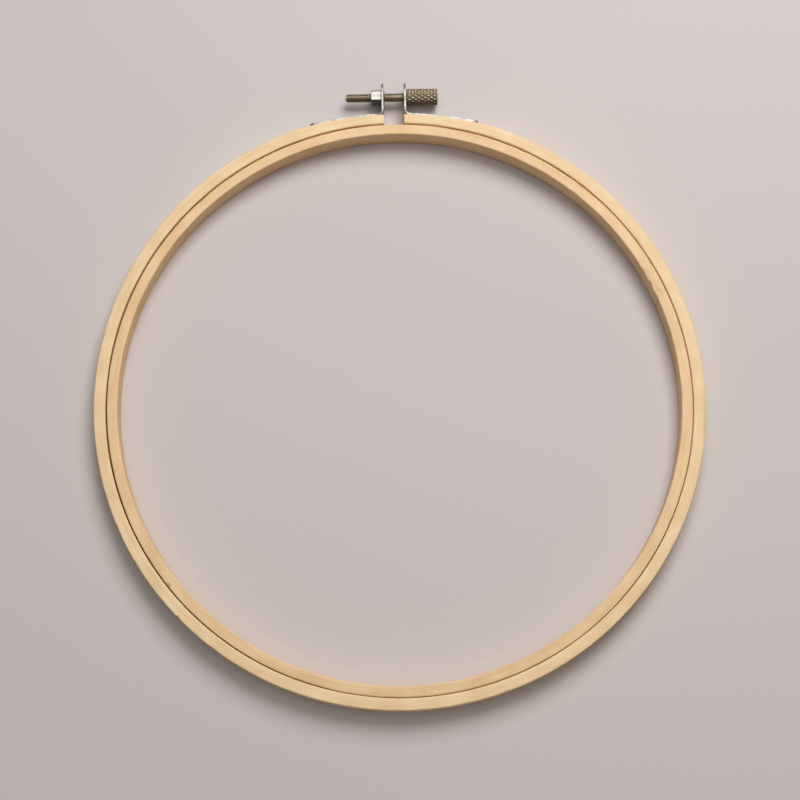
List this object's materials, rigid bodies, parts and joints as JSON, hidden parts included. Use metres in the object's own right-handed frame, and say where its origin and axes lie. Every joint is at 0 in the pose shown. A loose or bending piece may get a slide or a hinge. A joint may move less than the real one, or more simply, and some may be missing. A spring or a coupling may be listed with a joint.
{
  "type": "embroidery hoop",
  "caption": "Round wooden embroidery hoop: a plain inner ring lifts out of a split springy outer ring, which a knurled thumb screw draws tight through metal ears.",
  "frame": {"origin": "centre of the hoop's window, half way up the strips", "axes": "+Z is the hoop's axis, up from the table; +Y points from the centre to the clamp; +X runs along the screw, from its tip to its knob"},
  "size_m": [0.2, 0.2116, 0.009],
  "materials": {
    "outer_wood": "sanded, unvarnished",
    "inner_wood": "sanded, unvarnished",
    "nickel_plate": "bright nickel plate",
    "antique_brass": "dark antique plate, worn on the ridges"
  },
  "bodies": {
    "outer_ring": {"outer_hoop": "outer_wood"},
    "inner_ring": {"inner_hoop": "inner_wood"},
    "left_jaw": {"left_bracket": "nickel_plate", "left_rivet": "nickel_plate", "clamp_nut": "nickel_plate"},
    "right_jaw": {"right_bracket": "nickel_plate", "right_rivet": "nickel_plate"},
    "screw": {"thumb_screw": "antique_brass"}
  },
  "joints": [
    {"name": "inner_hoop_lift", "type": "slide", "parent": "outer_ring", "child": "inner_ring", "axis": [0, 0, 1], "range_m": [0, 0.03]},
    {"name": "left_jaw_draw", "type": "slide", "parent": "outer_ring", "child": "left_jaw", "axis": [1, 0, 0], "range_m": [-0.004, 0.00075], "deforming": ["outer_hoop"]},
    {"name": "right_jaw_draw", "type": "slide", "parent": "outer_ring", "child": "right_jaw", "axis": [-1, 0, 0], "range_m": [-0.004, 0.00075], "deforming": ["outer_hoop"]},
    {"name": "screw_turn", "type": "hinge", "parent": "right_jaw", "child": "screw", "pos_m": [0, 0.10685, 0], "axis": [-1, 0, 0], "range_deg": [-5760, 1080]}
  ],
  "couplings": [
    {"joint": "right_jaw_draw", "follows": "left_jaw_draw", "ratio": 1},
    {"joint": "screw_turn", "follows": "left_jaw_draw", "rad_per_m": 25133}
  ]
}
